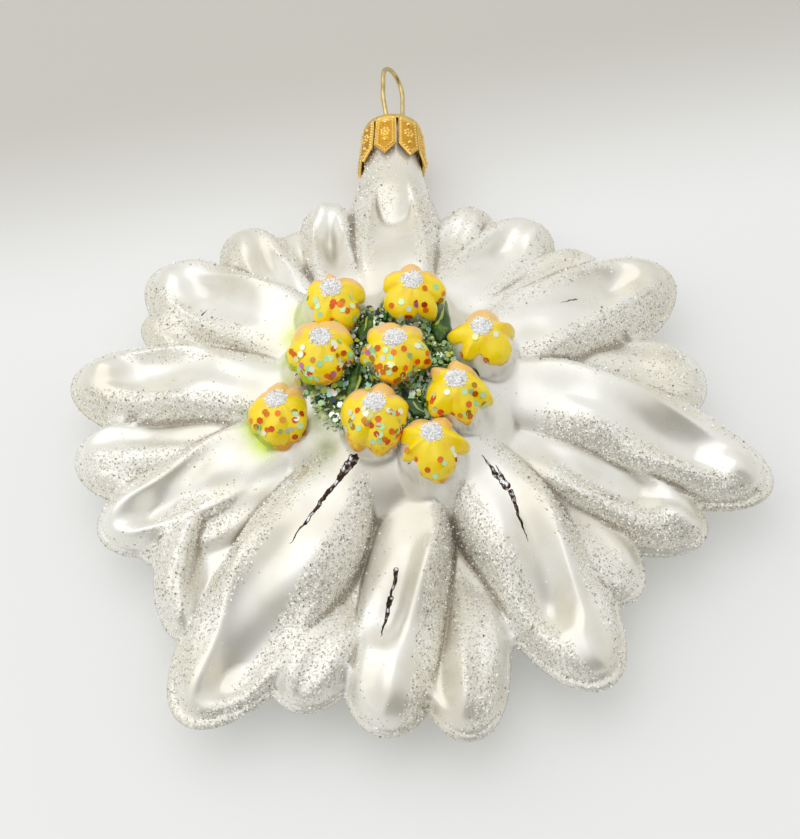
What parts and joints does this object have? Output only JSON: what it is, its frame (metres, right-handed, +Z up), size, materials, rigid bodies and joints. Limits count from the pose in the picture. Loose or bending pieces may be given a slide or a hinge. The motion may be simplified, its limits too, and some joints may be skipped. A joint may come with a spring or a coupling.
{
  "type": "blown glass edelweiss ornament",
  "caption": "Hollow blown-glass edelweiss Christmas ornament with glittered white petals, yellow enamel florets, a stamped crown cap and a wire hanging loop.",
  "frame": {"origin": "centre of the small level rest spot on the flower's back, on the surface that it lies on", "axes": "+Z up through the florets, +Y from the flower's middle along the neck and the hanging loop, +X to the right seen from above"},
  "size_m": [0.0997, 0.1129, 0.0281],
  "materials": {
    "pearl_glass": "silvered blown glass under pearl-white lacquer, satin, with clear glitter on the ridges",
    "gold_sheet": "thin stamped sheet, bright gold",
    "gold_wire": "pale gold drawn wire, polished",
    "yellow_enamel": "thick glossy paint, apricot on its upper side",
    "green_enamel": "glossy leaf paint under blue-green glitter",
    "crystal_glitter": "clear crystal grains",
    "sequins": "small iridescent and orange foil hexagons"
  },
  "bodies": {
    "root": {"glass_body": "pearl_glass", "metal_cap": "gold_sheet", "hanger_wire": "gold_wire", "floret_enamel_1": "yellow_enamel", "floret_enamel_2": "yellow_enamel", "floret_enamel_3": "yellow_enamel", "floret_enamel_4": "yellow_enamel", "floret_enamel_5": "yellow_enamel", "floret_enamel_6": "yellow_enamel", "floret_enamel_7": "yellow_enamel", "floret_enamel_8": "yellow_enamel", "floret_enamel_9": "yellow_enamel", "leaf_enamel_1": "green_enamel", "leaf_enamel_2": "green_enamel", "leaf_enamel_3": "green_enamel", "leaf_enamel_4": "green_enamel", "leaf_enamel_5": "green_enamel"}
  },
  "joints": []
}
